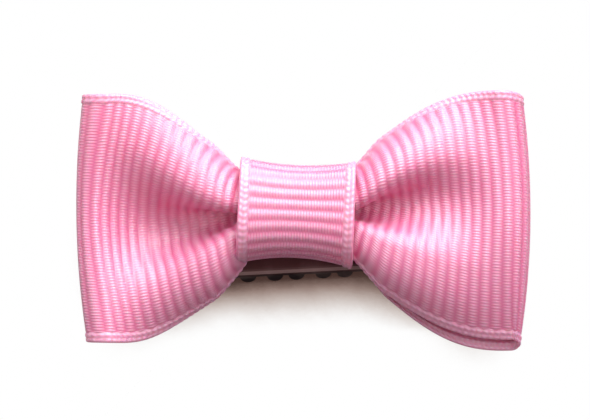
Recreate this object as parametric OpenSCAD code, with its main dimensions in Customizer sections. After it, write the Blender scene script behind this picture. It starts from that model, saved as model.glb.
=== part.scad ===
// Hair bow: a pinched ribbon bow with a ribbon wrap, glued to a toothed spring clip.
// X runs along the bow, Y across its ribbon and Z up from the face that the clip rests on.
// The origin is under the middle of the wrap. All sizes are in millimetres.

/* [Bow ribbon] */
// Width of the bow's ribbon
ribbon_w = 22.4; // [18:0.2:23]
// Thickness of the bow's ribbon
ribbon_t = 0.4; // [0.3:0.05:0.5]
// Reach of the left loop from the middle of the wrap
left_reach = 19.7; // [19:0.1:28]
// Reach of the right loop from the middle of the wrap
right_reach = 20.9; // [17:0.1:28]
// Height of a loop at its end, between the middles of its two layers
loop_h = 4.2; // [3.9:0.1:5]
// How far the middle of an end stands out past its corners
end_bow = 0.8; // [0:0.1:1.5]
// How far the left end's far corner stands out past its near corner
left_lean = 0.5; // [-1.5:0.1:1.5]
// How far the right end's far corner stands out past its near corner
right_lean = 0.3; // [-1.5:0.1:1.5]
// How far the left loop's end lies off the middle of the pinch, towards the near edge
left_drop = 1.05; // [-1:0.05:1.5]
// How far the right loop's end lies off the middle of the pinch
right_drop = 0.75; // [-1:0.05:1.5]
// Roll of the left loop: how far its end's far corner lies above the middle
left_roll = 0.7; // [-1:0.1:1.2]
// Roll of the right loop
right_roll = 1; // [-1:0.1:1.2]
// How far the left loop's back layer lies off its front layer at the end, towards the far edge
left_skew = 0.9; // [-1:0.05:1]
// How far the right loop's back layer lies off its front layer
right_skew = -0.25; // [-1:0.05:1]
// How far the near edge of the left loop's end is pressed down
left_press = 1.4; // [0:0.1:2.4]
// How far the near edge of the right loop's end is pressed down
right_press = 2.2; // [0:0.1:2.4]
// How far the left loop's near edge bulges out between the wrap and the end
left_bulge = 1.1; // [0:0.1:1.2]
// How far the right loop's near edge bulges out
right_bulge = 0.6; // [0:0.1:1.2]
// Swell of the ridges between the wrap and the ends
belly = 1.2; // [0.9:0.1:1.5]
// Height of the back layer's middle above the clip at the loops' ends
back_lift = 1.2; // [0.8:0.1:2]
// Gap between the ribbon's two cut ends inside the wrap
end_gap = 0.4; // [0.2:0.1:2]

/* [Pinch] */
// Half of the front layer's width where it is pinched
neck_half = 2.6; // [2.2:0.1:3.4]
// Half of the back layer's width where it is pinched
back_neck_half = 1.4; // [1.3:0.1:1.6]
// Rise of the two ridges above the edges beside them at the pinch
neck_rise = 3; // [2.8:0.1:3.4]
// Steepest slope of the far ridge's wall beside the cleft, in degrees
far_wall = 124; // [114:1:126]
// Steepest slope of the far ridge's outer flank, in degrees
far_flank = 82; // [75:1:95]
// Steepest slope of the near ridge's wall beside the cleft, in degrees
near_wall = 92; // [70:1:100]
// Steepest slope of the near ridge's outer flank, in degrees
near_flank = 88; // [60:1:95]
// Place of a ridge between the cleft and the edge at the pinch, as a share of the ribbon there
ridge_share = 0.43; // [0.4:0.01:0.45]
// Place of the left loop's ridges at its end
left_ridge_end = 0.72; // [0.35:0.01:0.75]
// Place of the right loop's ridges at its end
right_ridge_end = 0.46; // [0.35:0.01:0.8]
// How fast the left loop's walls open out towards its end
left_wall_fade = 0.85; // [0.8:0.05:1.3]
// How fast the right loop's walls open out
right_wall_fade = 0.75; // [0.7:0.05:1.6]
// How fast the left loop's flanks open out
left_flank_fade = 1.4; // [0.7:0.05:1.6]
// How fast the right loop's flanks open out
right_flank_fade = 1; // [0.7:0.05:1.6]
// Shift of the cleft at the pinch towards the far edge, as a share of the half width
pinch_shift = -0.2; // [-0.25:0.01:0.2]
// Swing of the left loop's cleft towards the far edge, as a share of the half width
left_swing = -0.15; // [-0.2:0.01:0.2]
// Swing of the right loop's cleft
right_swing = 0.12; // [-0.05:0.01:0.25]
// How far the flatter back layer spreads past the front layer's edges
back_spread = 0.5; // [0:0.1:0.8]
// Rise of the back layer's folds, as a share of the front layer's
back_share = 0.12; // [0:0.01:0.15]
// Gap between the front and back layers at the pinch
layer_gap = 0.15; // [0.1:0.05:0.5]

/* [Wrap] */
// Width of the wrap's ribbon
wrap_w = 10.4; // [9:0.1:12]
// Thickness of the wrap's ribbon
wrap_t = 0.4; // [0.3:0.05:0.5]
// Gap between the wrap's lapped ends
lap_gap = 0.1; // [0.05:0.05:0.3]
// How far the wrap flares out at its two edges
wrap_flare = 0.8; // [0.7:0.05:1]

/* [Binding thread] */
// Diameter of the thread that ties the pinch
thread_d = 0.25; // [0.15:0.05:0.4]
// Turns of the thread
thread_turns = 5; // [2:1:6]
// Distance between one turn of the thread and the next
thread_pitch = 0.7; // [0.65:0.05:0.9]

/* [Glue pad] */
// Length of the glue pad between the wrap and the clip
glue_l = 9; // [6:0.5:10]
// Width of the glue pad
glue_w = 5.6; // [4:0.2:6]
// Thickness of the glue pad
glue_t = 0.4; // [0.2:0.1:1]

/* [Clip] */
// Turn of the clip under the bow, in degrees
clip_skew = 3; // [-6:0.5:6]
// Width of the upper jaw over its flanges; the lower jaw fits inside them
jaw_w = 10; // [9:0.1:12]
// Thickness of the jaws' sheet
sheet_t = 0.5; // [0.4:0.05:0.6]
// Gap between the two jaws' plates
jaw_gap = 3; // [2.8:0.1:3.6]
// Reach of the jaws' tip from the middle of the wrap
tip_reach = 17; // [14:0.5:18]
// Reach of the levers' end from the middle of the wrap
lever_reach = 17; // [15:0.5:18]
// Distance of the hinge from the middle of the wrap, towards the levers
hinge_reach = 8; // [7.5:0.1:8.5]
// Depth of a jaw's flange below its plate
flange_h = 0.4; // [0.3:0.05:0.7]
// Outer radius of the bend between a plate and its flange
bend_r = 0.7; // [0.65:0.05:0.9]
// Corner radius of the jaws' tip and of the levers' end
corner_r = 2.2; // [1:0.1:4]
// Width of a tooth
tooth_w = 1.45; // [1.2:0.05:1.7]
// Length of an upper tooth below its flange
upper_tooth_l = 2.4; // [1.5:0.1:2.4]
// Length of a lower tooth above its flange
lower_tooth_l = 1.6; // [1:0.1:1.8]
// Distance between one pair of upper teeth and the next
tooth_pitch = 4.4; // [4.2:0.05:5]
// Distance between the two teeth of a pair
pair_pitch = 1.95; // [1.8:0.05:2.2]
// Place of the first tooth of the pair beside the middle of the wrap
tooth_start = -2.2; // [-2.6:0.05:-1.8]

/* [Hinge and spring] */
// Radius of the hinge pin
pin_r = 0.5; // [0.4:0.05:0.6]
// Running clearance round the hinge pin
pin_clear = 0.05; // [0.02:0.01:0.08]
// Radius of the ears that hold the pin
ear_r = 1.1; // [1:0.05:1.2]
// Side clearance between the upper jaw's flanges and the lower jaw inside them
ear_clear = 0.15; // [0.1:0.05:0.4]
// Radius of the pin's two heads
head_r = 0.9; // [0.75:0.05:1.1]
// Height of a pin head
head_h = 0.35; // [0.2:0.05:0.6]
// Diameter of the spring's wire
wire_d = 0.5; // [0.4:0.05:0.55]
// Radius of the spring's coil at the middle of its wire
coil_r = 1.05; // [1:0.05:1.1]
// Whole curls in the spring's coil
coil_turns = 5; // [3:1:5]
// Distance between one curl and the next
coil_pitch = 1; // [0.96:0.02:1.1]
// Length of the spring's legs along the levers
leg_l = 5; // [3:0.5:6]

/* [Fit] */
// Clearance between pieces that lie against each other
fit = 0.05; // [0.03:0.01:0.1]

/* [Hidden] */
$fn = 48;

// Heights, stacked from the clip up through the wrap and the pinched ribbon.
clip_h = 2 * sheet_t + jaw_gap;
hinge_z = clip_h / 2;
// Half of the angle over which the wrap's two ends lap under the pinch.
lap_angle = 30;
wrap_step = wrap_t + lap_gap;
wrap_growth = wrap_step * (360 + 2 * lap_angle) / 360;
wrap_floor = clip_h + glue_t + fit + wrap_t / 2 + wrap_growth;
thread_floor = wrap_floor + wrap_t / 2 + fit + thread_d / 2;
back_neck_z = thread_floor + thread_d / 2 + fit + ribbon_t / 2;
cleft_neck_z = back_neck_z + ribbon_t + layer_gap;
ridge_neck_z = cleft_neck_z + neck_rise;
thread_top = ridge_neck_z + ribbon_t / 2 + fit + thread_d / 2;
wrap_top = thread_top + thread_d / 2 + fit + wrap_t / 2;
neck_mid_z = (thread_floor + thread_top) / 2;
back_end_z = clip_h + back_lift;
front_end_z = back_end_z + loop_h;

// The folds begin to open inside the wrap, and the mouth widens from the thread past the wrap's edge.
neck_in = 1.2;
mouth_in = 2.7;
mouth_out = 3.9;
neck_reach = wrap_w / 2 - neck_in;
mouth_start = wrap_w / 2 - mouth_in;
// Powers that set where the ridges swell most, how fast the back layer's folds fade, how sharply
// the near edges are pressed and how softly deep folds are held to their room.
belly_power = 0.6;
back_power = 1.2;
press_power = 3;
soft_power = 4;

// Squareness of the oval that the thread and the wrap follow.
oval_power = 3.4;
// Room that the oval's round corners need beside the edges of the pinched ribbon.
corner_room = 0.5;
thread_side = neck_half + corner_room + thread_d / 2;
wrap_side = thread_side + thread_d / 2 + 2 * fit + wrap_t / 2;

// Grid counts of the ribbon, from the middle of the front to the end and back below.
front_steps = 6;
fold_steps = 4;
back_steps = 3;
half_columns = 9;
fine_steps = 12;
spacing_power = 1.5;
wrap_rows = 42;
wrap_columns = 6;
// Rings in a turn of thread and in a curl of the spring, and sides of both tubes.
thread_rings = 24;
curl_rings = 8;
tube_sides = 6;
// Steps in the bend of the sheet.
bend_steps = 6;
// Steps in the round tip of a tooth.
tip_steps = 12;

// The lower jaw fits between the upper jaw's flanges.
lower_jaw_w = jaw_w - 2 * (sheet_t + ear_clear);

// Places of the teeth: the upper jaw has pairs, and the lower jaw's teeth lie between them.
ear_margin = 0.4;
jaw_start = -hinge_reach + ear_r + ear_margin;
jaw_end = tip_reach - corner_r;
function tooth_places(start) = [
    for (i = [floor((jaw_start - start) / tooth_pitch) : ceil((jaw_end - start) / tooth_pitch)])
        let (x = start + i * tooth_pitch)
        if (x - tooth_w / 2 > jaw_start && x + tooth_w / 2 < jaw_end) x];
upper_teeth = concat(tooth_places(tooth_start), tooth_places(tooth_start + pair_pitch));
lower_teeth = tooth_places(tooth_start + (pair_pitch + tooth_pitch) / 2);

// Unit vector along v.
function unit(v) = v / norm(v);

// Slope of the pinched section, where u runs from 0 at the cleft to 1 at the edge.
function fold_slope(u, wall, flank, ridge) =
    u < ridge ? wall * sin(180 * u / ridge)
              : -flank * sin(90 * (u - ridge) / (1 - ridge));

// Place of a point of the section from the cleft, as shares of the ribbon's width beside the cleft.
// The ribbon keeps its width, so steep folds draw its edge in.
function fold_point(u, wall, flank, ridge) =
    let (
        slopes = [for (i = [0.5 : fine_steps]) fold_slope(u * i / fine_steps, wall, flank, ridge)],
        ones = [for (slope = slopes) 1]
    )
    u / fine_steps * [[for (slope = slopes) cos(slope)] * ones, [for (slope = slopes) sin(slope)] * ones];

// Smooth step from 0 to 1.
function eased(share) =
    let (u = min(1, max(0, share)))
    u * u * (3 - 2 * u);

// Values of the two loops; side is -1 for the left one.
function roll(side) = side < 0 ? left_roll : right_roll;
function drop(side) = side < 0 ? left_drop : right_drop;
function skew(side) = side < 0 ? left_skew : right_skew;
function press(side) = side < 0 ? left_press : right_press;

// Shapes along a loop, where t runs from 0 at the pinch to 1 at the loop's end.
function wall_fade(side, t) = pow(1 - t, side < 0 ? left_wall_fade : right_wall_fade);
function flank_fade(side, t) = pow(1 - t, side < 0 ? left_flank_fade : right_flank_fade);
function ridge_place(side, t) = ridge_share + ((side < 0 ? left_ridge_end : right_ridge_end) - ridge_share) * t;
function shift(side, t) = pinch_shift * pow(1 - t, 2) + (side < 0 ? left_swing : right_swing) * sin(180 * t);
function bulge(side, t) = (side < 0 ? left_bulge : right_bulge) * sin(180 * t);
function ridge_z(t) =
    ridge_neck_z + (front_end_z - ridge_neck_z) * t + belly * pow(sin(180 * pow(t, belly_power)), 2);
function back_z(t) = back_neck_z + (back_end_z - back_neck_z) * t;

// How far the pressed near edge of a loop's end lies below its front, at a place across from -1 to 1.
function lowered(side, across) = press(side) * pow(max(0, -across), press_power);

// How far the pressed near edge draws in, because the ribbon keeps its width.
function tuck(side, across) =
    let (power = 2 * press_power - 1)
    pow(press_power * press(side), 2) / ribbon_w / power * pow(max(0, -across), power);

// Height of a loop's end.
function end_h(side, across) = loop_h - lowered(side, across);

// Where the flat part of a loop ends.
function loop_end(side, across) =
    (side < 0 ? left_reach : right_reach) - end_bow * across * across - end_h(side, across) / 2
    + (side < 0 ? left_lean : right_lean) * across / 2;

// Distance from the middle of the wrap, where reach shortens the stretch inside the wrap.
function place_x(side, t, reach, across) = neck_reach * reach + (loop_end(side, across) - neck_reach) * t;

// How much a section is narrowed at the pinch and in its mouth.
function narrowing(side, t, reach, half, pinched) =
    let (opened = eased((place_x(side, t, reach, 0) - mouth_start) / (mouth_in + mouth_out)))
    1 + (pinched / half - 1) * (1 - opened);

// Section of the front layer at a place along a loop, from the near edge to the far edge.
function front_section(side, t) =
    let (cleft = shift(side, t), ridge = ridge_place(side, t))
    [for (j = [-half_columns : half_columns])
        let (
            across = j / half_columns,
            is_far = across >= cleft,
            room = is_far ? 1 - cleft : 1 + cleft,
            wall = (is_far ? far_wall : near_wall) * wall_fade(side, t),
            flank = (is_far ? far_flank : near_flank) * flank_fade(side, t),
            point = room * ribbon_w / 2 * fold_point(abs(across - cleft) / room, wall, flank, ridge)
        )
        [is_far ? point[0] : -point[0], point[1]]];

// One row of points across the front layer's middle surface.
function front_row(side, t, reach) =
    let (
        section = front_section(side, t),
        near = section[0][0],
        far = section[2 * half_columns][0],
        peak = max([for (point = section) point[1]]),
        depths = [for (j = [-half_columns : half_columns])
            peak - section[j + half_columns][1] + lowered(side, j / half_columns) * t],
        room = ridge_z(t) - back_z(t) - ribbon_t - layer_gap,
        held = pow(1 + (1 - t) * pow(max(depths) / room, soft_power), -1 / soft_power),
        narrow = narrowing(side, t, reach, (far - near) / 2, neck_half)
    )
    [for (j = [-half_columns : half_columns])
        let (across = j / half_columns, place = section[j + half_columns][0] - (far + near) / 2)
        [side * place_x(side, t, reach, across),
         place * narrow + (tuck(side, across) - drop(side)) * t - bulge(side, t) * max(0, -across),
         ridge_z(t) - depths[j + half_columns] * held + roll(side) * across * t]];

// One row of points across the back layer, which is flatter and spreads a little wider.
function back_row(side, t, reach) =
    let (
        section = front_section(side, t),
        half = (section[2 * half_columns][0] - section[0][0]) / 2 + back_spread * sin(180 * t),
        narrow = narrowing(side, t, reach, half, back_neck_half)
    )
    [for (j = [-half_columns : half_columns])
        let (across = j / half_columns)
        [side * place_x(side, t, reach, across),
         across * half * narrow + (skew(side) - drop(side)) * t,
         back_z(t) + back_share * neck_rise * pow(1 - t, back_power) * pow(sin(180 * across), 2)
         + roll(side) * across * t]];

// One row of points in the fold at a loop's end, turned by an angle from the front layer.
function fold_row(side, angle) = [
    for (j = [-half_columns : half_columns])
        let (across = j / half_columns, height = end_h(side, across), front = (1 + cos(angle)) / 2)
        [side * (loop_end(side, across) + height / 2 * sin(angle)),
         across * ribbon_w / 2 - drop(side) + tuck(side, across) * front + skew(side) * (1 - front),
         back_end_z + height * front + roll(side) * across]];

// Rows from the ribbon's cut end under the pinch, out along the back and home along the front.
function half_ribbon(side) = concat(
    [back_row(side, 0, end_gap / 2 / neck_reach)],
    [for (i = [0 : back_steps]) back_row(side, pow(i / back_steps, spacing_power), 1)],
    [for (i = [fold_steps - 1 : -1 : 1]) fold_row(side, 180 * i / fold_steps)],
    [for (i = [front_steps : -1 : 0]) front_row(side, pow(i / front_steps, spacing_power), 1)]);

function ribbon_rows() =
    let (left = half_ribbon(-1), right = half_ribbon(1), last = len(right) - 1)
    concat(left, [front_row(1, 0, 0)], [for (i = [last : -1 : 0]) right[i]]);

// Polar radius of a squared oval whose upper and lower halves differ in height.
function oval_radius(angle, side, top, bottom) =
    pow(pow(abs(cos(angle)) / side, oval_power)
        + pow(abs(sin(angle)) / (sin(angle) > 0 ? top : bottom), oval_power), -1 / oval_power);

// One row of points across the wrap's width, at an angle of its spiral round the pinch.
function wrap_row(turn) =
    let (
        angle = turn - 90 - lap_angle,
        growth = wrap_step * turn / 360
    )
    [for (j = [0 : wrap_columns])
        let (
            across = 2 * j / wrap_columns - 1,
            flare = wrap_flare * across * across,
            r = oval_radius(angle, wrap_side + flare + growth,
                            wrap_top - neck_mid_z + flare + growth,
                            neck_mid_z - wrap_floor + growth)
        )
        [across * wrap_w / 2, r * cos(angle), neck_mid_z + r * sin(angle)]];

function wrap_rows_list() = [for (i = [0 : wrap_rows]) wrap_row((360 + 2 * lap_angle) * i / wrap_rows)];

// A path with a straight run of one length added at each of its ends.
function with_straight_ends(path, run) =
    let (last = len(path) - 1)
    concat([path[0] + run * unit(path[0] - path[1])], path,
           [path[last] + run * unit(path[last] - path[last - 1])]);

// Middle line of the thread: a winding round the pinch.
function thread_path() =
    let (count = thread_turns * thread_rings)
    with_straight_ends([for (i = [0 : count])
        let (
            angle = 360 * i / thread_rings - 90,
            r = oval_radius(angle, thread_side, thread_top - neck_mid_z, neck_mid_z - thread_floor)
        )
        [(i / thread_rings - thread_turns / 2) * thread_pitch, r * cos(angle), neck_mid_z + r * sin(angle)]],
        thread_d);

// Middle line of the spring: a leg along the lower lever, the coil and a leg along the upper one.
function spring_path() =
    let (
        turns = coil_turns + 0.5,
        count = turns * curl_rings,
        rest = sheet_t + fit + wire_d / 2,
        y = turns * coil_pitch / 2,
        coil = [for (i = [0 : count])
            let (angle = 360 * i / curl_rings - 90)
            [coil_r * cos(angle) - hinge_reach, (i / count - 0.5) * 2 * y, hinge_z + coil_r * sin(angle)]]
    )
    concat([[-hinge_reach - leg_l, -y, rest]], [[-hinge_reach - wire_d, -y, hinge_z - coil_r]], coil,
           [[-hinge_reach - wire_d, y, hinge_z + coil_r]], [[-hinge_reach - leg_l, y, clip_h - rest]]);

// Least clear gap between points of a tube that are more than skip rings apart.
function least_gap(path, d, skip) =
    min([for (i = [0 : len(path) - 1 - skip]) for (j = [i + skip : len(path) - 1]) norm(path[i] - path[j])]) - d;

// Direction of the grid's normal at one point, from its neighbours.
function grid_normal(grid, i, j) =
    let (
        along = grid[min(i + 1, len(grid) - 1)][j] - grid[max(i - 1, 0)][j],
        across = grid[i][min(j + 1, len(grid[0]) - 1)] - grid[i][max(j - 1, 0)]
    )
    unit(cross(along, across));

// A grid moved along its normals, as one list of points.
function moved_grid(grid, distance) = [
    for (i = [0 : len(grid) - 1])
        for (j = [0 : len(grid[0]) - 1]) grid[i][j] + distance * grid_normal(grid, i, j)];

// Two triangles between four corners.
function two_faces(a, b, c, d) = [[a, b, c], [a, c, d]];

// A closed strip of ribbon: a grid thickened to both sides.
module strip(grid, thickness) {
    rows = len(grid);
    columns = len(grid[0]);
    under = rows * columns;
    points = concat(moved_grid(grid, thickness / 2), moved_grid(grid, -thickness / 2));
    faces = [
        for (i = [0 : rows - 2])
            for (j = [0 : columns - 2])
                let (a = i * columns + j, b = a + columns)
                for (face = concat(two_faces(a, a + 1, b + 1, b),
                                   two_faces(under + a, under + b, under + b + 1, under + a + 1))) face,
        for (i = [0 : rows - 2])
            let (a = i * columns, b = a + columns, c = a + columns - 1, d = b + columns - 1)
            for (face = concat(two_faces(a, b, under + b, under + a),
                               two_faces(c, under + c, under + d, d))) face,
        for (j = [0 : columns - 2])
            let (a = j, b = (rows - 1) * columns + j)
            for (face = concat(two_faces(a, under + a, under + a + 1, a + 1),
                               two_faces(b, b + 1, under + b + 1, under + b))) face];
    polyhedron(points, faces, convexity = 10);
}

// A closed tube along a path. The reference direction must not run along the path.
module tube(path, d, reference) {
    last = len(path) - 1;
    points = [
        for (i = [0 : last])
            let (
                along = unit(path[min(i + 1, last)] - path[max(i - 1, 0)]),
                out = unit(cross(along, reference)),
                up = cross(out, along)
            )
            for (k = [0 : tube_sides - 1])
                path[i] + d / 2 * (cos(360 * k / tube_sides) * out + sin(360 * k / tube_sides) * up)];
    faces = [
        for (i = [0 : last - 1])
            for (k = [0 : tube_sides - 1])
                let (a = i * tube_sides + k, b = i * tube_sides + (k + 1) % tube_sides)
                for (face = two_faces(a, b, b + tube_sides, a + tube_sides)) face,
        for (k = [1 : tube_sides - 2]) [0, k + 1, k],
        for (k = [1 : tube_sides - 2]) [last * tube_sides, last * tube_sides + k, last * tube_sides + k + 1]];
    polyhedron(points, faces, convexity = 10);
}

// End view of a jaw: a plate with two bent flanges, as deep as its teeth reach.
module channel_section(width, depth) {
    half = width / 2;
    function bend(r, from) = [
        for (i = [0 : bend_steps])
            let (angle = from + (from < 90 ? 1 : -1) * 90 * i / bend_steps)
            [half - bend_r + r * cos(angle), clip_h - bend_r + r * sin(angle)]];
    right = concat([[half, clip_h - depth]], bend(bend_r, 0));
    inner = concat(bend(bend_r - sheet_t, 90), [[half - sheet_t, clip_h - depth]]);
    count = len(right);
    left = [for (i = [count - 1 : -1 : 0]) [-right[i][0], right[i][1]]];
    inner_left = [for (i = [len(inner) - 1 : -1 : 0]) [-inner[i][0], inner[i][1]]];
    polygon(concat(right, left, inner_left, inner));
}

// Plan view of a jaw: a plate with rounded corners.
module plan_section(width) {
    length = tip_reach + lever_reach;
    middle = (tip_reach - lever_reach) / 2;
    translate([middle, 0]) {
        square([length - 2 * corner_r, width], center = true);
        square([length, width - 2 * corner_r], center = true);
        for (x = [-1, 1], y = [-1, 1])
            translate([x * (length / 2 - corner_r), y * (width / 2 - corner_r)])
                circle(corner_r);
    }
}

// Side view of a jaw: the plate, its flange, the round-tipped teeth and the ear.
module side_section(places, tooth_l) {
    flange_z = clip_h - sheet_t - flange_h;
    translate([-lever_reach, clip_h - sheet_t])
        square([lever_reach + tip_reach, sheet_t]);
    translate([-hinge_reach, flange_z])
        square([jaw_end + hinge_reach, clip_h - flange_z]);
    for (x = places)
        translate([x, flange_z])
            polygon([for (i = [0 : tip_steps])
                let (angle = 180 * i / tip_steps)
                [-tooth_w / 2 * cos(angle), fit - (tooth_l + fit) * sin(angle)]]);
    ear_section();
}

// Side view of a round ear that drops from a plate to the hinge.
module ear_section() {
    translate([-hinge_reach, hinge_z])
        circle(ear_r);
    translate([-hinge_reach - ear_r, hinge_z])
        square([2 * ear_r, clip_h - sheet_t / 2 - hinge_z]);
}

// Sets a piece of the clip in its place under the bow.
module on_clip() {
    rotate(clip_skew)
        children();
}

// Stands a side view up across a width of the clip.
module across_clip(width) {
    rotate([90, 0, 0])
        linear_extrude(width, center = true)
            children();
}

// A hole for the hinge pin through every ear.
module pin_hole(r) {
    translate([-hinge_reach, 0, hinge_z])
        rotate([90, 0, 0])
            cylinder(h = 2 * jaw_w, r = r, center = true);
}

// A bent sheet with teeth, ears and a hole for the hinge pin.
module stamped_jaw(width, places, tooth_l) {
    difference() {
        intersection() {
            translate([-lever_reach, 0, 0])
                rotate([90, 0, 90])
                    linear_extrude(lever_reach + tip_reach)
                        channel_section(width, clip_h);
            across_clip(2 * width)
                side_section(places, tooth_l);
            linear_extrude(clip_h)
                plan_section(width);
        }
        pin_hole(pin_r + pin_clear);
    }
}

module bow_ribbon() {
    color("pink")
        strip(ribbon_rows(), ribbon_t);
}

module center_wrap() {
    color("pink")
        strip(wrap_rows_list(), wrap_t);
}

module binding_thread() {
    path = thread_path();
    echo(thread_gap_mm = least_gap(path, thread_d, thread_rings / 2));
    color("lightpink")
        tube(path, thread_d, [1, 0, 0]);
}

module glue_pad() {
    end_r = glue_w / 2;
    color("ivory")
        translate([0, 0, clip_h])
            linear_extrude(glue_t) {
                square([glue_l - glue_w, glue_w], center = true);
                for (x = [-1, 1])
                    translate([x * (glue_l / 2 - end_r), 0])
                        circle(end_r);
            }
}

module upper_jaw() {
    color("dimgray")
        on_clip()
            stamped_jaw(jaw_w, upper_teeth, upper_tooth_l);
}

module lower_jaw() {
    color("dimgray")
        on_clip()
            translate([0, 0, clip_h])
                mirror([0, 0, 1])
                    stamped_jaw(lower_jaw_w, lower_teeth, lower_tooth_l);
}

module hinge_pin() {
    shank_l = jaw_w + 2 * fit;
    color("gray")
        on_clip()
            translate([-hinge_reach, 0, hinge_z])
                rotate([90, 0, 0]) {
                    cylinder(h = shank_l + head_h, r = pin_r, center = true);
                    for (side = [0, 180])
                        rotate([side, 0, 0])
                            translate([0, 0, shank_l / 2])
                                cylinder(h = head_h, r1 = head_r, r2 = head_r - head_h / 2);
                }
}

module torsion_spring() {
    path = spring_path();
    echo(spring_gap_mm = least_gap(path, wire_d, curl_rings / 2));
    color("silver")
        on_clip()
            tube(path, wire_d, [0, 1, 0]);
}

bow_ribbon();
center_wrap();
binding_thread();
glue_pad();
upper_jaw();
lower_jaw();
hinge_pin();
torsion_spring();
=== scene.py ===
"""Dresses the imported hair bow: ribbed ribbon and wrap, thread, glue, spring and dark clip metal.

X runs along the bow, Y across its ribbon and Z up from the face that the clip rests on.
Lengths are in millimetres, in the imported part's frame, and become metres in the meshes.
"""
import math

import bpy
import numpy as np
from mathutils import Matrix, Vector


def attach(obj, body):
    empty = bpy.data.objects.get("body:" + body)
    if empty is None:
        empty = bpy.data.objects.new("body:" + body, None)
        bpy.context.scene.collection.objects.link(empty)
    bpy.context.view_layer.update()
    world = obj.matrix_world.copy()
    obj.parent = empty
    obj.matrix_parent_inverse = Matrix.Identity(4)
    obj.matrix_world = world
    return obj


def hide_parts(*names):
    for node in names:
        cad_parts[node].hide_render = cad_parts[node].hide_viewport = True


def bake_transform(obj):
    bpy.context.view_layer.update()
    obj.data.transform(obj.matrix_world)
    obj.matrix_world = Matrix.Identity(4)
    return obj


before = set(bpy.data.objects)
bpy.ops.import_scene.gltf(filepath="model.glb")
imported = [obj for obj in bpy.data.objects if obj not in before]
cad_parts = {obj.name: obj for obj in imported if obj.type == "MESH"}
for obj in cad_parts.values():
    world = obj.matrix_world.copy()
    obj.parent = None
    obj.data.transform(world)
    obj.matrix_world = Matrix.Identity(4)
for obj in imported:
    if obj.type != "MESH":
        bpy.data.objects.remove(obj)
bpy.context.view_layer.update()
MM = 0.001
TINY = 1e-6

# The photograph's frame and viewing angle
PHOTO_WIDTH = 590
PIXELS_PER_MM = 11.1
CAMERA_ELEVATION = math.radians(78)
CAMERA_TARGET = Vector((-0.135, 0.0, 7.8)) * MM
LENS = 300
SENSOR = 36

# Bow ribbon. In each pair of values, -1 is the left loop and 1 the right one.
RIBBON_W = 22.4
RIBBON_T = 0.4
REACH = {-1: 19.7, 1: 20.9}  # from the middle of the wrap to the loop's end
LEAN = {-1: 0.5, 1: 0.3}  # how much further the end's far edge reaches than its near one
ROLL = {-1: 0.7, 1: 1.0}  # rise of the end's far edge, and fall of its near one
SKEW = {-1: 0.9, 1: -0.25}  # shift across of the back layer's end
DIP = {-1: 1.0, 1: 0.0}  # sag of the end's middle
PRESS = {-1: 0.5, 1: 3.1}  # fall of the end's pressed near edge
PRESS_POWER = 2
NEAR_BULGE = {-1: 1.6, 1: 0.6}  # swelling of the near edge between the pinch and the end
BULGE_POWER = 0.4
END_DROP = {-1: 1.05, 1: 0.75}  # shift of the whole end towards the near side
END_BOW = 0.8  # how much shorter the loop is at its edges
LOOP_H = 4.2
BELLY = 1.2  # swelling of the front layer between the pinch and the end
BELLY_POWER = 0.6
END_GAP = 0.4  # between the ribbon's two cut ends

# Pinch. The front layer folds into a far and a near hump, with a cleft between them.
NECK_HALF = 2.6
BACK_NECK_HALF = 1.4
NECK_RISE = 3.0
FAR_WALL, FAR_FLANK = 134.0, 82.0  # steepest angles up from the cleft, and down to the edge
NEAR_WALL = 92.0
NEAR_FLANK = {-1: 96.0, 1: 74.0}
FAR_RIDGE = {-1: (0.43, 0.72), 1: (0.43, 0.46)}  # share of the way to the edge, at pinch and end
NEAR_RIDGE = {-1: (0.4, 0.62), 1: (0.56, 0.5)}
NEAR_ROUNDING = {-1: 1.0, 1: 1.9}  # above 1, the near hump stays level for longer
WALL_FADE = {-1: (1.4, 1.25), 1: (1.35, 1.55)}  # powers of the folds' fading along a loop
FAR_FADE = {-1: (1.2, 1.6), 1: (1.6, 1.2)}
NEAR_FADE = {-1: (1.8, 1.15), 1: (1.6, 1.2)}
PINCH_SHIFT = {-1: -0.1, 1: -0.3}  # place of the cleft across the ribbon, from -1 to 1
SWING = {-1: -0.1, 1: 0.12}  # how far the cleft swings across, halfway along a loop
DEPTH_POWER = 4  # how sharply deep folds stop above the back layer
BACK_SPREAD = 0.5  # extra half width of the back layer, halfway along a loop
BACK_SHARE = 0.12  # height of its folds, as a share of the pinch's rise
BACK_POWER = 1.2
BACK_SAG = 0.15
LAYER_GAP = 0.15
NECK_REACH = 4.0
MOUTH_START = 2.0
MOUTH_L = 6.0

# Wrap
WRAP_W = 10.4
WRAP_T = 0.4
LAP_GAP = 0.1
LAP_ANGLE = 30
NEAR_FLARE, FAR_FLARE = 0.8, 0.5  # how far its two edges stand out, on the near and far side
WRAP_SKEW = math.radians(-2.5)
OVAL_POWER = 2.6
CORNER_ROOM = 0.5

# Thread, glue and clip
THREAD_D = 0.25
THREAD_TURNS = 5
THREAD_PITCH = 0.7
THREAD_TWISTS = 20  # twists of its two plies in each turn
GLUE_L, GLUE_W, GLUE_T = 9.0, 5.6, 0.4
GLUE_SQUARENESS = 3
GLUE_WOBBLE = 0.03
GLUE_LOBES = (3, 5)
GLUE_LOBE_START = 0.6
CLIP_SKEW = math.radians(3)
CLIP_H = 4.0
SHEET_T = 0.5
HINGE_REACH = 8.0
WIRE_D = 0.5
COIL_R = 1.05
COIL_TURNS = 5.5  # the half turn takes the second leg to the upper lever
COIL_PITCH = 1.0
LEG_L = 5.0
FIT = 0.05

# Shares of the glue's outline and height, from its lower face round the rim to its upper one
GLUE_PROFILE = ((0.5, 0.0), (0.92, 0.0), (0.985, 0.18), (1.0, 0.45),
                (0.985, 0.75), (0.94, 0.96), (0.86, 1.0), (0.5, 1.0))

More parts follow.
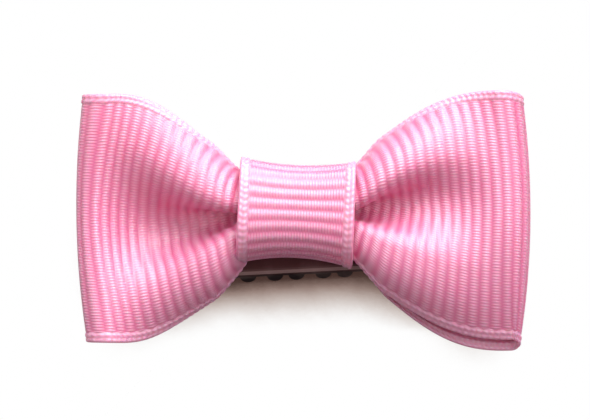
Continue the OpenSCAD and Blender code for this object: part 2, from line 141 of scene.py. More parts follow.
# Heights, stacked from the clip up through the wrap and the pinched ribbon
HINGE_Z = CLIP_H / 2
WRAP_STEP = WRAP_T + LAP_GAP
WRAP_TURN = 360 + 2 * LAP_ANGLE
WRAP_FLOOR = CLIP_H + GLUE_T + FIT + WRAP_T / 2 + WRAP_STEP * WRAP_TURN / 360
THREAD_FLOOR = WRAP_FLOOR + WRAP_T / 2 + FIT + THREAD_D / 2
BACK_NECK_Z = THREAD_FLOOR + THREAD_D / 2 + FIT + RIBBON_T / 2
RIDGE_NECK_Z = BACK_NECK_Z + RIBBON_T + LAYER_GAP + NECK_RISE
THREAD_TOP = RIDGE_NECK_Z + RIBBON_T / 2 + FIT + THREAD_D / 2
WRAP_TOP = THREAD_TOP + THREAD_D / 2 + FIT + WRAP_T / 2
NECK_MID_Z = (THREAD_FLOOR + THREAD_TOP) / 2
BACK_RISE = 1.2
BACK_END_Z = CLIP_H + BACK_RISE
FRONT_END_Z = BACK_END_Z + LOOP_H
THREAD_SIDE = NECK_HALF + CORNER_ROOM + THREAD_D / 2
WRAP_SIDE = THREAD_SIDE + THREAD_D / 2 + 2 * FIT + WRAP_T / 2

# Weave of both ribbons: ribs across, fine yarns along, and a beaded selvage at each edge
RIB_PITCH = 0.95
RIB_DEPTH = 0.08
RIB_LEAN = 2.5  # how far the ribs' ends lean towards the wrap
LEAN_POWER = 1.5
LEAN_REACH = 8.5
YARN_PITCH = 0.26
SELVAGE_W = 0.95
SELVAGE_RISE = 0.08
SELVAGE_BEADS = 2.25  # bead widths in a selvage: two rows of beads, and a groove inside them
SELVAGE_CREST = 0.85
BEAD_PITCH = RIB_PITCH / 2
BEAD_DEPTH = 0.13
BEAD_SLANT = 0.35
BEAD_FLOOR = 0.35  # height that is left between two beads

# Fineness of the meshes
INSIDE_STEPS, FRONT_STEPS, TURN_STEPS, BACK_STEPS, TAIL_STEPS = 40, 240, 60, 160, 24
FOLD_STEPS = 32
WRAP_SAMPLES = 1500
ROWS_PER_RIB = 10
COLUMN_STEP = 0.24
SELVAGE_COLUMNS = 10
THREAD_RINGS, PLY_SIDES = 96, 8
COIL_RINGS, LEG_RINGS, WIRE_SIDES = 40, 40, 14
GLUE_AROUND = 72

# Colours, from 0 to 255
# The groove pinks are painted shade in the ribs' grooves and between the selvage beads.
GROOVE_SHADE_PINK, CREST_PINK = (222, 94, 147), (236, 139, 178)
EDGE_GROOVE_SHADE_PINK, EDGE_CREST_PINK = (235, 146, 180), (244, 180, 206)
# The yarn pink is a painted highlight on the rib crests.
YARN_HIGHLIGHT_PINK, PATCH_PINK, SHEEN_PINK = (252, 202, 219), (229, 124, 164), (255, 214, 228)
THREAD_DARK, THREAD_PALE = (224, 128, 168), (246, 186, 212)
GLUE_DARK, GLUE_PALE = (232, 222, 205), (248, 244, 236)
# Upright plating is painted darker as painted shade. The last plating and steel colours are both real
# rubbed wear and a painted highlight along the bends.
PLATING_UPRIGHT_SHADE, PLATING_FLAT, PLATING_WORN_AND_HIGHLIGHT = (24, 11, 11), (104, 72, 68), (200, 176, 166)
STEEL, STEEL_WORN_AND_HIGHLIGHT = (150, 148, 146), (190, 188, 184)

# Studio. Lamps have a place and a size in metres, and watts.
LAMPS = {
    "key": ((0.12, 0.14, 0.5), 0.55, 1.1),
    "back": ((0.1, 0.46, 0.32), 0.55, 6.8),
    "fill": ((-0.5, 0.1, 0.1), 0.18, 0.3),
}
LAMP_TARGET = (0, 0, 0.006)
WHITE, BLACK = (1, 1, 1, 1), (0, 0, 0, 1)
AMBIENT_TINT = (1, 0.7, 0.86, 1)
AMBIENT = 0.2
FLOOR_HALF = 1.5  # metres
FLOOR_BOUNCE = (0.35, 0.33, 0.32, 1)
SHADOW_REACH = 6
SHADOW_SAMPLES = 24
TOWARDS_LIGHT = (0.15, 0.5, 0.85)
SHADOW_ENDS = ((0.3, (70, 50, 45)), (0.8, (255, 255, 255)))
SHADOW_BETWEEN = ((0.445, (148, 124, 115)), (0.63, (209, 197, 191)))


def eased(share):
    """Smooth step from 0 to 1."""
    u = np.clip(share, 0, 1)
    return u * u * (3 - 2 * u)


def unit(vectors):
    """Vectors of length 1 along the given ones."""
    return vectors / np.maximum(np.linalg.norm(vectors, axis=-1, keepdims=True), TINY)


def stacked(x, y, z):
    """Points from coordinates that may differ in shape."""
    return np.stack(np.broadcast_arrays(x, y, z), -1)


def column(values):
    """Values as a column, for rows of points."""
    return np.asarray(values, float)[:, None]


def lengths_along(line):
    """Distance along a line from its start to each of its points."""
    steps = np.linalg.norm(np.diff(line, axis=0), axis=-1)
    return np.concatenate([[0], np.cumsum(steps)])


def lowered(side, across):
    """How far a loop's end dips in the middle and is pressed down at its near edge."""
    dip = DIP[side] * np.cos(np.pi / 2 * across) ** 2
    return dip + PRESS[side] * np.maximum(0, -across) ** PRESS_POWER


def tuck(side, across):
    """How far the pressed near edge draws in, because the ribbon keeps its width."""
    power = 2 * PRESS_POWER - 1
    return (PRESS_POWER * PRESS[side]) ** 2 / RIBBON_W / power * np.maximum(0, -across) ** power


def loop_height(side, across):
    """Height of a loop's end."""
    return LOOP_H - lowered(side, across)


def loop_end(side, across):
    """Where the flat part of a loop ends, at a place across the ribbon from -1 to 1."""
    bowed = REACH[side] - END_BOW * across**2
    return bowed - loop_height(side, across) / 2 + LEAN[side] * across / 2


def fold_point(u, wall, flank, ridge, rounding):
    """Place of a point of the pinched section from the cleft, as shares of the width beside it."""
    inner = u[..., None] * (np.arange(FOLD_STEPS) + 0.5) / FOLD_STEPS
    ridge = ridge[..., None]
    up = wall[..., None] * np.sin(np.pi * inner / ridge)
    outside = np.maximum(0, inner - ridge) / (1 - ridge)
    down = -flank[..., None] * np.sin(np.pi / 2 * outside) ** rounding[..., None]
    slope = np.radians(np.where(inner < ridge, up, down))
    return u * np.cos(slope).mean(-1), u * np.sin(slope).mean(-1)


def faded(t, powers):
    """Fading share of a fold from 1 at the pinch to 0 at a loop's end, without a crease there."""
    return (1 - t ** powers[0]) ** powers[1]


def front_section(side, t, across):
    """Natural section of the front layer: places across and heights, before it is narrowed."""
    t, across = np.broadcast_arrays(t, across)
    cleft = PINCH_SHIFT[side] * (1 - t) ** 2 + SWING[side] * np.sin(np.pi * t)
    is_far = across >= cleft
    room = np.where(is_far, 1 - cleft, 1 + cleft)
    wall = np.where(is_far, FAR_WALL, NEAR_WALL) * faded(t, WALL_FADE[side])
    far_flank = FAR_FLANK * faded(t, FAR_FADE[side])
    near_flank = NEAR_FLANK[side] * faded(t, NEAR_FADE[side])
    flank = np.where(is_far, far_flank, near_flank)
    ridges = zip(FAR_RIDGE[side], NEAR_RIDGE[side])
    pinched, spread = (np.where(is_far, far, near) for far, near in ridges)
    ridge = pinched + (spread - pinched) * t
    rounding = np.where(is_far, 1, NEAR_ROUNDING[side])
    y, z = fold_point(np.abs(across - cleft) / room, wall, flank, ridge, rounding)
    width = room * RIBBON_W / 2
    return np.where(is_far, 1, -1) * width * y, width * z


def place_x(side, t, reach, across):
    """Distance from the middle of the wrap, where reach shortens the stretch inside the wrap."""
    return NECK_REACH * reach + (loop_end(side, across) - NECK_REACH) * t


def narrowing(side, t, reach, half, pinched):
    """How much a section is narrowed at the pinch and in its mouth."""
    opened = eased((place_x(side, t, reach, 0) - MOUTH_START) / MOUTH_L)
    return 1 + (pinched / half - 1) * (1 - opened)


def back_z(t):
    """Height of the back layer's middle along a loop, before it sags."""
    return BACK_NECK_Z + (BACK_END_Z - BACK_NECK_Z) * t


def front_rows(side, t, reach, across):
    """Rows of points across the front layer, whose folds hang from its ridge."""
    y, z = front_section(side, t, across)
    near, far = y[:, :1], y[:, -1:]
    z = z - z.max(1, keepdims=True) - lowered(side, across) * t
    depth = -z.min(1, keepdims=True)
    belly = BELLY * np.sin(np.pi * t**BELLY_POWER) ** 2
    ridge = RIDGE_NECK_Z + (FRONT_END_Z - RIDGE_NECK_Z) * t + belly
    room = ridge - back_z(t) - RIBBON_T - LAYER_GAP
    held = (1 + (1 - t) * (depth / room) ** DEPTH_POWER) ** (-1 / DEPTH_POWER)
    y = (y - (far + near) / 2) * narrowing(side, t, reach, (far - near) / 2, NECK_HALF)
    bulge = NEAR_BULGE[side] * np.sin(np.pi * t**BULGE_POWER) ** 2 * np.maximum(0, -across)
    y = y + (tuck(side, across) - END_DROP[side]) * t - bulge
    z = ridge + z * held + ROLL[side] * across * t
    return stacked(side * place_x(side, t, reach, across), y, z)


def inner_rows(side, reach, across):
    """Rows across the front layer inside the wrap, where the two loops' folds blend."""
    rows = front_rows(side, np.zeros_like(reach), reach, across)
    other = front_rows(-side, np.zeros_like(reach), reach, across)
    share = (1 + eased(reach)[..., None]) / 2
    rows[..., 1:] = share * rows[..., 1:] + (1 - share) * other[..., 1:]
    return rows


def back_rows(side, t, reach, across):
    """Rows of points across the back layer, which is flatter and spreads a little wider."""
    y, _ = front_section(side, t, across)
    half = (y[:, -1:] - y[:, :1]) / 2 + BACK_SPREAD * np.sin(np.pi * t)
    narrowed = across * half * narrowing(side, t, reach, half, BACK_NECK_HALF)
    y = narrowed + (SKEW[side] - END_DROP[side]) * t
    folds = BACK_SHARE * NECK_RISE * (1 - t) ** BACK_POWER * np.sin(np.pi * across) ** 2
    z = back_z(t) - BACK_SAG * np.sin(np.pi * t) + folds + ROLL[side] * across * t
    return stacked(side * place_x(side, t, reach, across), y, z)


def end_rows(side, angle, across):
    """Rows of points round the fold at a loop's end."""
    front = (1 + np.cos(angle)) / 2
    height = loop_height(side, across)
    x = loop_end(side, across) + height / 2 * np.sin(angle)
    shift = tuck(side, across) * front
    y = across * RIBBON_W / 2 - END_DROP[side] + shift + SKEW[side] * (1 - front)
    z = BACK_END_Z + height * front + ROLL[side] * across
    return stacked(side * x, y, z)


def loop_path(side, across):
    """Fine rows from the middle of the front out round a loop and home to the cut end."""
    inside = np.linspace(0, 1, INSIDE_STEPS + 1)[:-1]
    out = np.linspace(0, 1, FRONT_STEPS + 1)[:-1]
    turn = np.linspace(0, np.pi, TURN_STEPS + 1)[:-1]
    home = np.linspace(1, 0, BACK_STEPS + 1)[:-1]
    last = np.linspace(1, END_GAP / 2 / NECK_REACH, TAIL_STEPS + 1)
    return np.concatenate([
        inner_rows(side, column(inside), across),
        front_rows(side, column(out), 1, across),
        end_rows(side, column(turn), across),
        back_rows(side, column(home), 1, across),
        back_rows(side, column(np.zeros_like(last)), column(last), across),
    ])


def points_at(path, index, j):
    """Points of one column of a path at fractional row numbers."""
    low = np.clip(index.astype(int), 0, len(path) - 2)
    return path[low, j] + (index - low)[:, None] * (path[low + 1, j] - path[low, j])


def row_distances(length):
    """Distances of evenly spaced rows along a ribbon, several to each rib."""
    count = round(length / RIB_PITCH * ROWS_PER_RIB)
    return np.linspace(0, length, count + 1)


def ribbed_rows(path, across):
    """Rows along the ribs: evenly spaced along the middle, with ends that lean towards the wrap."""
    middle = path.shape[1] // 2
    lengths = lengths_along(path[:, middle])
    distances = row_distances(lengths[-1])
    outermost = lengths[np.abs(path[:, middle, 0]).argmax()]
    lean = RIB_LEAN * np.minimum(1, distances / LEAN_REACH)
    lean *= np.cos(np.pi / 2 * np.minimum(1, distances / outermost))
    shifted = column(distances) - column(lean) * np.abs(across) ** LEAN_POWER
    index = np.interp(shifted, lengths, np.arange(len(path)))
    rows = np.stack([points_at(path, index[:, j], j) for j in range(path.shape[1])], 1)
    return rows, distances


def ribbon_columns(width):
    """Places across a ribbon from -1 to 1, closer together in its selvages."""
    body = width - 2 * SELVAGE_W
    selvage = np.linspace(0, SELVAGE_W, SELVAGE_COLUMNS + 1)[:-1]
    count = 2 * round(body / COLUMN_STEP / 2)
    inner = np.linspace(SELVAGE_W, SELVAGE_W + body, count + 1)
    places = np.concatenate([selvage, inner, width - selvage[::-1]])
    return places / width * 2 - 1


def weave_height(distances, across, width):
    """Height of the weave from 0 to 1, with ribs and beads, and where it is selvage."""
    s = column(distances)
    margin = (1 - np.abs(across)) * width / 2
    ribs = 0.5 + 0.5 * np.cos(2 * np.pi * s / RIB_PITCH)
    place = margin / SELVAGE_W * SELVAGE_BEADS
    row = np.minimum(np.floor(place), 1)
    inside = place - row
    slant = np.where(row > 0, 1, -1) * BEAD_SLANT * inside
    along = 0.5 + 0.5 * np.cos(2 * np.pi * (s / BEAD_PITCH + row / 2 + slant))
    bulge = np.sqrt(np.clip(1 - (2 * inside - 1) ** 2, 0, 1))
    beads = bulge * (BEAD_FLOOR + (1 - BEAD_FLOOR) * np.sqrt(along))
    is_selvage = margin < SELVAGE_W - TINY
    return np.where(is_selvage, beads, ribs), is_selvage


def grid_normals(grid):
    """Unit normals of a grid of points."""
    return unit(np.cross(np.gradient(grid, axis=0), np.gradient(grid, axis=1)))


def add_mesh(name, points, faces, uv=None):
    """A smooth mesh object from points in millimetres, with an optional UV for each point."""
    mesh = bpy.data.meshes.new(name)
    mesh.from_pydata((np.asarray(points) * MM).tolist(), [], faces)
    mesh.polygons.foreach_set("use_smooth", [True] * len(mesh.polygons))
    if uv is not None:
        corners = np.empty(len(mesh.loops), int)
        mesh.loops.foreach_get("vertex_index", corners)
        layer = mesh.uv_layers.new(name="weave")
        layer.data.foreach_set("uv", np.asarray(uv)[corners].ravel())
    mesh.update()
    obj = bpy.data.objects.new(name, mesh)
    bpy.context.scene.collection.objects.link(obj)
    return obj


def strip_faces(rows, columns):
    """Faces of a closed strip: its upper grid, its lower grid and the four borders."""
    number = np.arange(rows * columns).reshape(rows, columns)
    under = number + rows * columns
    upper = np.stack([number[:-1, :-1], number[1:, :-1], number[1:, 1:], number[:-1, 1:]], -1)
    lower = np.stack([under[:-1, :-1], under[:-1, 1:], under[1:, 1:], under[1:, :-1]], -1)
    faces = [upper.reshape(-1, 4), lower.reshape(-1, 4)]
    for top, bottom in ((number[:, 0], under[:, 0]), (number[::-1, -1], under[::-1, -1]),
                        (number[0, ::-1], under[0, ::-1]), (number[-1], under[-1])):
        faces.append(np.stack([top[:-1], bottom[:-1], bottom[1:], top[1:]], -1))
    return np.concatenate(faces).tolist()


def woven_strip(name, grid, distances, across, width, thickness):
    """A closed, ribbed ribbon along a grid of points, with its weave stored for the material."""
    height, is_selvage = weave_height(distances, across, width)
    body = thickness / 2 - RIB_DEPTH * (1 - height)
    edge = thickness / 2 + SELVAGE_RISE - BEAD_DEPTH * (1 - height)
    offset = np.where(is_selvage, edge, body)[..., None] * grid_normals(grid)
    points = np.concatenate([(grid + offset).reshape(-1, 3), (grid - offset).reshape(-1, 3)])
    rib = np.broadcast_to(column(distances) / RIB_PITCH, grid.shape[:2])
    yarn = np.broadcast_to(across * width / 2 / YARN_PITCH, grid.shape[:2])
    uv = np.stack([rib, yarn], -1).reshape(-1, 2)
    obj = add_mesh(name, points, strip_faces(*grid.shape[:2]), np.concatenate([uv, uv]))
    crest = np.where(is_selvage, SELVAGE_CREST * height - 1, height).ravel()
    stored = obj.data.attributes.new("crest", "FLOAT", "POINT")
    stored.data.foreach_set("value", np.concatenate([crest, crest]))
    return obj


def bow_ribbon():
    """The ribbon of both loops, from one cut end to the other, and its cut length."""
    across = ribbon_columns(RIBBON_W)[None]
    left, left_distances = ribbed_rows(loop_path(-1, across), across)
    right, right_distances = ribbed_rows(loop_path(1, across), across)
    grid = np.concatenate([left[:0:-1], right])
    distances = np.concatenate([-left_distances[:0:-1], right_distances])
    obj = woven_strip("ribbon_loops", grid, distances, across, RIBBON_W, RIBBON_T)
    return obj, distances[-1] - distances[0]


def turned(points, angle):
    """Points turned about the middle of the wrap, seen from above."""
    c, s = math.cos(angle), math.sin(angle)
    return np.asarray(points) @ np.array([[c, s, 0], [-s, c, 0], [0, 0, 1]])


def oval_radius(angle, side, top, bottom):
    """Polar radius of a squared oval whose upper and lower halves differ in height."""
    height = np.where(np.sin(angle) > 0, top, bottom)
    level = (np.abs(np.cos(angle)) / side) ** OVAL_POWER
    upright = (np.abs(np.sin(angle)) / height) ** OVAL_POWER
    return (level + upright) ** (-1 / OVAL_POWER)


def wrap_rows(turn, across):
    """Rows of points across the wrap, at angles of its spiral round the pinch."""
    angle = np.radians(turn - 90 - LAP_ANGLE)
    growth = WRAP_STEP * turn / 360
    flare = (NEAR_FLARE + (FAR_FLARE - NEAR_FLARE) * (1 + np.cos(angle)) / 2) * across**2
    r = oval_radius(angle, WRAP_SIDE + flare + growth, WRAP_TOP - NECK_MID_Z + flare + growth,
                    NECK_MID_Z - WRAP_FLOOR + growth)
    return stacked(across * WRAP_W / 2, r * np.cos(angle), NECK_MID_Z + r * np.sin(angle))


def center_wrap():
    """The wrap's ribbon, wound once round the pinch with its ends lapped, and its cut length."""
    across = ribbon_columns(WRAP_W)[None]
    fine = np.linspace(0, WRAP_TURN, WRAP_SAMPLES)
    lengths = lengths_along(wrap_rows(column(fine), np.zeros((1, 1)))[:, 0])
    distances = row_distances(lengths[-1])
    turns = np.interp(distances, lengths, fine)
    grid = turned(wrap_rows(column(turns), across), WRAP_SKEW)
    obj = woven_strip("ribbon_wrap", grid, distances, across, WRAP_W, WRAP_T)
    return obj, lengths[-1]


def ring_faces(rings, around):
    """Faces of a closed tube made of rings of points."""
    number = np.arange(rings * around).reshape(rings, around)
    beside = np.roll(number, -1, axis=1)
    walls = np.stack([number[:-1], beside[:-1], beside[1:], number[1:]], -1)
    return walls.reshape(-1, 4).tolist() + [number[0, ::-1].tolist(), number[-1].tolist()]


def tube(path, radius, sides, reference):
    """Points and faces of a closed tube along a path."""
    along = unit(np.gradient(path, axis=0))
    out = unit(np.cross(along, reference))
    up = np.cross(out, along)
    angle = np.arange(sides) * 2 * np.pi / sides
    circle = np.cos(angle)[:, None] * out[:, None] + np.sin(angle)[:, None] * up[:, None]
    points = (path[:, None] + radius * circle).reshape(-1, 3)
    return points, ring_faces(len(path), sides)


def binding_thread():
    """Two twisted plies wound round the pinch."""
    turn = np.linspace(0, THREAD_TURNS, THREAD_TURNS * THREAD_RINGS + 1)
    angle = 2 * np.pi * turn - np.pi / 2
    r = oval_radius(angle, THREAD_SIDE, THREAD_TOP - NECK_MID_Z, NECK_MID_Z - THREAD_FLOOR)
    path = stacked((turn - THREAD_TURNS / 2) * THREAD_PITCH, r * np.cos(angle),
                   NECK_MID_Z + r * np.sin(angle))
    along = unit(np.gradient(path, axis=0))
    side = unit(np.cross(along, [1, 0, 0]))
    up = np.cross(side, along)
    ply_radius = THREAD_D / 4
    points, faces = [], []
    for ply in range(2):
        twist = 2 * np.pi * THREAD_TWISTS * turn + ply * np.pi
        offset = ply_radius * (np.cos(twist)[:, None] * side + np.sin(twist)[:, None] * up)
        more, more_faces = tube(path + offset, ply_radius, PLY_SIDES, [1, 0, 0])
        start = sum(len(p) for p in points)
        points.append(more)
        faces += [[corner + start for corner in face] for face in more_faces]
    return add_mesh("binding_thread_plies", np.concatenate(points), faces)


def torsion_spring():
    """The spring's wire, with a leg along each lever, and half the coil's length."""
    half = COIL_TURNS * COIL_PITCH / 2
    rest = SHEET_T + FIT + WIRE_D / 2
    share = np.linspace(0, 1, int(COIL_TURNS * COIL_RINGS) + 1)
    angle = 2 * np.pi * COIL_TURNS * share - np.pi / 2
    coil = stacked(COIL_R * np.cos(angle) - HINGE_REACH, (2 * share - 1) * half,
                   HINGE_Z + COIL_R * np.sin(angle))
    leg = np.linspace(1, 0, LEG_RINGS)[:-1]
    lower = stacked(-HINGE_REACH - LEG_L * leg, -half,
                    HINGE_Z - COIL_R + (rest - HINGE_Z + COIL_R) * eased(leg))
    upper = lower[::-1] * [1, -1, -1] + [0, 0, CLIP_H]
    path = np.concatenate([lower, coil, upper])
    points, faces = tube(path, WIRE_D / 2, WIRE_SIDES, [0, 1, 0])
    return add_mesh("spring_wire", turned(points, CLIP_SKEW), faces), half


def glue_pad():
    """A flattened bead of glue with a soft, uneven rim."""
    angle = np.arange(GLUE_AROUND) * 2 * np.pi / GLUE_AROUND
    straight = (GLUE_L - GLUE_W) / 2
    lobes = np.sin(GLUE_LOBES[0] * angle + GLUE_LOBE_START) * np.cos(GLUE_LOBES[1] * angle)
    wobble = 1 - GLUE_WOBBLE * (1 + lobes)
    squared = straight * np.tanh(GLUE_SQUARENESS * np.cos(angle))
    x = wobble * (GLUE_W / 2 * np.cos(angle) + squared)
    y = wobble * GLUE_W / 2 * np.sin(angle)
    rings = [stacked(share * x, share * y, CLIP_H + GLUE_T * rise) for share, rise in GLUE_PROFILE]
    return add_mesh("glue_bead", np.concatenate(rings), ring_faces(len(rings), GLUE_AROUND))


def srgb(red, green, blue):
    """A colour given as 0 to 255, in the linear values that shaders use."""
    values = [c / 255 for c in (red, green, blue)]
    linear = [c / 12.92 if c <= 0.04045 else ((c + 0.055) / 1.055) ** 2.4 for c in values]
    return (*linear, 1)


def connect(tree, value, socket):
    """Links a socket's value in, or sets a plain one."""
    if isinstance(value, bpy.types.NodeSocket):
        tree.links.new(value, socket)
    else:
        socket.default_value = value


def calculate(tree, operation, *values):
    """A Math node's result."""
    node = tree.nodes.new("ShaderNodeMath")
    node.operation = operation
    for value, socket in zip(values, node.inputs):
        connect(tree, value, socket)
    return node.outputs[0]


def mix_colours(tree, share, first, second):
    """A mix of two colours."""
    node = tree.nodes.new("ShaderNodeMix")
    node.data_type = "RGBA"
    for value, name in ((share, "Factor_Float"), (first, "A_Color"), (second, "B_Color")):
        connect(tree, value, next(s for s in node.inputs if s.identifier == name))
    return next(s for s in node.outputs if s.identifier == "Result_Color")


def noise(tree, coordinates, scale, detail=3.0):
    """A Noise texture's value."""
    node = tree.nodes.new("ShaderNodeTexNoise")
    connect(tree, coordinates, node.inputs["Vector"])
    node.inputs["Scale"].default_value = scale
    node.inputs["Detail"].default_value = detail
    return node.outputs[0]


def bump(tree, height, strength, distance):
    """A normal bent by a height, over a distance in millimetres."""
    node = tree.nodes.new("ShaderNodeBump")
    node.inputs["Strength"].default_value = strength
    node.inputs["Distance"].default_value = distance * MM
    connect(tree, height, node.inputs["Height"])
    return node.outputs[0]


def new_material(name):
    """A node material, its tree and its Principled shader."""
    material = bpy.data.materials.new(name)
    material.use_nodes = True
    tree = material.node_tree
    return material, tree, next(n for n in tree.nodes if n.type == "BSDF_PRINCIPLED")


def set_inputs(shader, values):
    """Sets a shader's sockets to values that are the same all over a surface."""
    for name, value in values.items():
        shader.inputs[name].default_value = value


def object_coordinates(tree):
    """Coordinates that stay with the object."""
    return tree.nodes.new("ShaderNodeTexCoord").outputs["Object"]


def ribbon_material():
    """Pink grosgrain: rib crests with fine yarns painted paler over them as a painted highlight,
    grooves painted darker as painted shade, beaded selvages.

    The stored crest is the weave's height in the body and lies below zero in the selvages.
    Its fraction is the height in both, kept clear of whole numbers.
    """
    body_start = -0.05
    crest_span, crest_start = 0.998, 1.001
    yarn_highlight_share = 0.42
    patch_span, patch_start = 0.3, -0.06
    material, tree, shader = new_material("pink_grosgrain")
    weave = tree.nodes.new("ShaderNodeUVMap")
    weave.uv_map = "weave"
    split = tree.nodes.new("ShaderNodeSeparateXYZ")
    tree.links.new(weave.outputs[0], split.inputs[0])
    rib, yarn = split.outputs[0], split.outputs[1]
    attribute = tree.nodes.new("ShaderNodeAttribute")
    attribute.attribute_name = "crest"
    stored = attribute.outputs["Fac"]
    in_body = calculate(tree, "GREATER_THAN", stored, body_start)
    lifted = calculate(tree, "MULTIPLY_ADD", stored, crest_span, crest_start)
    crest = calculate(tree, "FRACT", lifted)
    number = calculate(tree, "FLOOR", calculate(tree, "ADD", rib, 0.5))
    offset = calculate(tree, "MULTIPLY", calculate(tree, "FLOORED_MODULO", number, 2.0), 0.5)
    turn = calculate(tree, "MULTIPLY", calculate(tree, "ADD", yarn, offset), 2 * math.pi)
    wave = calculate(tree, "MULTIPLY_ADD", calculate(tree, "COSINE", turn), 0.5, 0.5)
    on_crests = calculate(tree, "MULTIPLY", wave, calculate(tree, "SQRT", crest))
    yarns = calculate(tree, "MULTIPLY", on_crests, in_body)
    # Groove colours are painted shade, darker where the weave dips.
    body = mix_colours(tree, crest, srgb(*GROOVE_SHADE_PINK), srgb(*CREST_PINK))
    edge = mix_colours(tree, crest, srgb(*EDGE_GROOVE_SHADE_PINK), srgb(*EDGE_CREST_PINK))
    tint = mix_colours(tree, in_body, edge, body)
    # Yarns on the crests are painted paler: a painted highlight.
    yarn_highlight_mask = calculate(tree, "MULTIPLY", yarns, yarn_highlight_share)
    colour = mix_colours(tree, yarn_highlight_mask, tint, srgb(*YARN_HIGHLIGHT_PINK))
    patches = noise(tree, object_coordinates(tree), scale=900.0)
    shade = calculate(tree, "MULTIPLY_ADD", patches, patch_span, patch_start)
    shaded = mix_colours(tree, shade, colour, srgb(*PATCH_PINK))
    connect(tree, shaded, shader.inputs["Base Color"])
    connect(tree, bump(tree, yarns, strength=0.65, distance=0.06), shader.inputs["Normal"])
    set_inputs(shader, {
        "Roughness": 0.48,
        "Specular IOR Level": 1.0,
        "Subsurface Weight": 0.75,
        "Subsurface Scale": MM,
        "Subsurface Radius": (0.6, 0.2, 0.35),
        "Coat Weight": 0.6,
        "Coat Roughness": 0.36,
        "Sheen Weight": 0.2,
        "Sheen Roughness": 0.4,
        "Sheen Tint": srgb(*SHEEN_PINK),
    })
    return material


def metal_material(name, upright, flat, worn_and_highlight, roughness, metallic, gloss):
    """Plated sheet steel with fine grain and rubbed patches, upright faces painted darker as painted
    shade, and a painted highlight along the bends.
    """
    bend_level, bend_sharpness = 0.7, 4.0
    rub_span, rub_start = 0.8, -0.4
    grain_span = 0.2
    material, tree, shader = new_material(name)
    place = tree.nodes.new("ShaderNodeTexCoord")
    rubbed = noise(tree, place.outputs["Object"], scale=260.0, detail=6.0)
    facing = tree.nodes.new("ShaderNodeSeparateXYZ")
    tree.links.new(place.outputs["Normal"], facing.inputs[0])
    level = calculate(tree, "ABSOLUTE", facing.outputs[2])
    # Faces sloped like the bends get a painted highlight, in the same colour as the rubbed patches.
    off_bend = calculate(tree, "ABSOLUTE", calculate(tree, "SUBTRACT", level, bend_level))
    near_bend = calculate(tree, "MULTIPLY_ADD", off_bend, -bend_sharpness, 1.0)
    bend = calculate(tree, "MAXIMUM", near_bend, 0.0)
    rub = calculate(tree, "MULTIPLY_ADD", rubbed, rub_span, rub_start)
    patches = calculate(tree, "MAXIMUM", rub, 0.0)
    share = calculate(tree, "MINIMUM", calculate(tree, "ADD", patches, bend), 1.0)
    # Upright faces are painted darker than flat ones: painted shade.
    facing_shade = mix_colours(tree, level, srgb(*upright), srgb(*flat))
    connect(tree, mix_colours(tree, share, facing_shade, srgb(*worn_and_highlight)), shader.inputs["Base Color"])
    grain = noise(tree, place.outputs["Object"], scale=2600.0, detail=2.0)
    rough = calculate(tree, "MULTIPLY_ADD", grain, grain_span, roughness - grain_span / 2)
    connect(tree, rough, shader.inputs["Roughness"])
    connect(tree, bump(tree, grain, strength=0.15, distance=0.02), shader.inputs["Normal"])
    set_inputs(shader, {"Metallic": metallic, "Specular IOR Level": gloss})
    return material


def thread_material():
    """Soft pink sewing thread."""
    material, tree, shader = new_material("pink_thread")
    fibres = noise(tree, object_coordinates(tree), scale=5000.0)
    colour = mix_colours(tree, fibres, srgb(*THREAD_DARK), srgb(*THREAD_PALE))
    connect(tree, colour, shader.inputs["Base Color"])
    connect(tree, bump(tree, fibres, strength=0.4, distance=0.02), shader.inputs["Normal"])
    set_inputs(shader, {"Roughness": 0.7})
    return material


def glue_material():
    """Milky hot-melt glue."""
    material, tree, shader = new_material("milky_glue")
    cloud = noise(tree, object_coordinates(tree), scale=420.0)
    colour = mix_colours(tree, cloud, srgb(*GLUE_DARK), srgb(*GLUE_PALE))
    connect(tree, colour, shader.inputs["Base Color"])
    connect(tree, bump(tree, cloud, strength=0.3, distance=0.05), shader.inputs["Normal"])
    set_inputs(shader, {
        "Roughness": 0.28,
        "Subsurface Weight": 0.3,
        "Subsurface Scale": MM,
        "Subsurface Radius": (0.8, 0.6, 0.4),
    })
    return material


def set_material(obj, material):
    """Gives an object one material."""
    obj.data.materials.clear()
    obj.data.materials.append(material)


def make_camera():
    """The camera at the photograph's viewing angle, framed as the photograph is."""
    data = bpy.data.cameras.new("camera")
    data.lens = LENS
    data.sensor_width = SENSOR
    camera = bpy.data.objects.new("camera", data)
    back = Vector((0, -math.cos(CAMERA_ELEVATION), math.sin(CAMERA_ELEVATION)))
    distance = PHOTO_WIDTH / PIXELS_PER_MM * MM * LENS / SENSOR
    camera.location = CAMERA_TARGET + back * distance
    camera.rotation_euler = (-back).to_track_quat("-Z", "Y").to_euler()
    bpy.context.scene.collection.objects.link(camera)
    bpy.context.scene.camera = camera


def add_light(name, place, size, watts):
    """A soft square lamp that shines at the bow."""
    data = bpy.data.lights.new(name, "AREA")
    data.size = size
    data.energy = watts
    lamp = bpy.data.objects.new(name, data)
    lamp.location = place
    aim = Vector(LAMP_TARGET) - Vector(place)
    lamp.rotation_euler = aim.to_track_quat("-Z", "Y").to_euler()
    bpy.context.scene.collection.objects.link(lamp)


def seen_share(tree):
    """1 for rays from the camera, reflections and glass, and 0 for light that falls on the object."""
    path = tree.nodes.new("ShaderNodeLightPath").outputs
    seen = calculate(tree, "MAXIMUM", path["Is Camera Ray"], path["Is Glossy Ray"])
    return calculate(tree, "MAXIMUM", seen, path["Is Transmission Ray"])


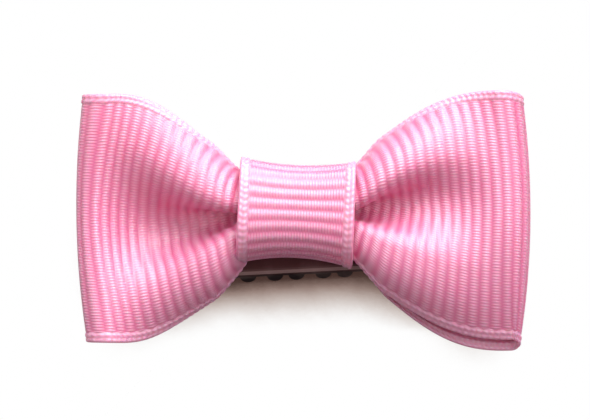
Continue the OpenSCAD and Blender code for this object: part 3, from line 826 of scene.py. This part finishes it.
def make_floor():
    """A white table that keeps a soft, warm shadow close to the object."""
    corners = np.array([[-1, -1, 0], [1, -1, 0], [1, 1, 0], [-1, 1, 0]])
    floor = add_mesh("floor", corners * FLOOR_HALF / MM, [[0, 1, 2, 3]])
    material, tree, shader = new_material("white_table")
    seen = tree.nodes.new("ShaderNodeLightPath").outputs["Is Camera Ray"]
    towards_light = tree.nodes.new("ShaderNodeCombineXYZ")
    for value, socket in zip(TOWARDS_LIGHT, towards_light.inputs):
        socket.default_value = value
    open_sky = tree.nodes.new("ShaderNodeAmbientOcclusion")
    open_sky.samples = SHADOW_SAMPLES
    open_sky.inputs["Distance"].default_value = SHADOW_REACH * MM
    tree.links.new(towards_light.outputs[0], open_sky.inputs["Normal"])
    shadow = tree.nodes.new("ShaderNodeValToRGB")
    stops = shadow.color_ramp.elements
    for number, (position, colour) in enumerate(SHADOW_ENDS):
        stops[number].position = position
        stops[number].color = srgb(*colour)
    for position, colour in SHADOW_BETWEEN:
        stops.new(position).color = srgb(*colour)
    tree.links.new(open_sky.outputs["AO"], shadow.inputs[0])
    connect(tree, mix_colours(tree, seen, FLOOR_BOUNCE, BLACK), shader.inputs["Base Color"])
    set_inputs(shader, {"Roughness": 0.9, "Specular IOR Level": 0.0})
    tree.links.new(shadow.outputs["Color"], shader.inputs["Emission Color"])
    connect(tree, seen, shader.inputs["Emission Strength"])
    set_material(floor, material)


def make_world():
    """An even studio: full white to the camera, softer and rosier as light."""
    world = bpy.data.worlds.new("studio")
    world.use_nodes = True
    tree = world.node_tree
    background = next(n for n in tree.nodes if n.type == "BACKGROUND")
    seen = seen_share(tree)
    connect(tree, mix_colours(tree, seen, AMBIENT_TINT, WHITE), background.inputs["Color"])
    strength = calculate(tree, "MULTIPLY_ADD", seen, 1 - AMBIENT, AMBIENT)
    connect(tree, strength, background.inputs["Strength"])
    bpy.context.scene.world = world


make_camera()
make_world()
make_floor()
for lamp_name, (lamp_place, lamp_size, lamp_watts) in LAMPS.items():
    add_light(lamp_name, lamp_place, lamp_size, lamp_watts)
bpy.context.scene.view_settings.view_transform = "Standard"

pink = ribbon_material()
loops, loops_length = bow_ribbon()
wrap, wrap_length = center_wrap()
for piece, node in ((loops, "bow_ribbon"), (wrap, "center_wrap")):
    set_material(piece, pink)
    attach(piece, "bow")
    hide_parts(node)

thread = binding_thread()
set_material(thread, thread_material())
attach(thread, "bow")
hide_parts("binding_thread")

glue = glue_pad()
set_material(glue, glue_material())
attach(glue, "bow")
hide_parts("glue_pad")

dark_metal = metal_material("dark_plating", PLATING_UPRIGHT_SHADE, PLATING_FLAT, PLATING_WORN_AND_HIGHLIGHT,
                            roughness=0.55, metallic=0.0, gloss=0.1)
bright_metal = metal_material("spring_steel", STEEL, STEEL, STEEL_WORN_AND_HIGHLIGHT,
                              roughness=0.3, metallic=1.0, gloss=0.5)
for node in ("upper_jaw", "lower_jaw", "hinge_pin"):
    set_material(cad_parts[node], dark_metal)

spring, spring_half = torsion_spring()
set_material(spring, bright_metal)
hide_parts("torsion_spring")
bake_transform(spring)
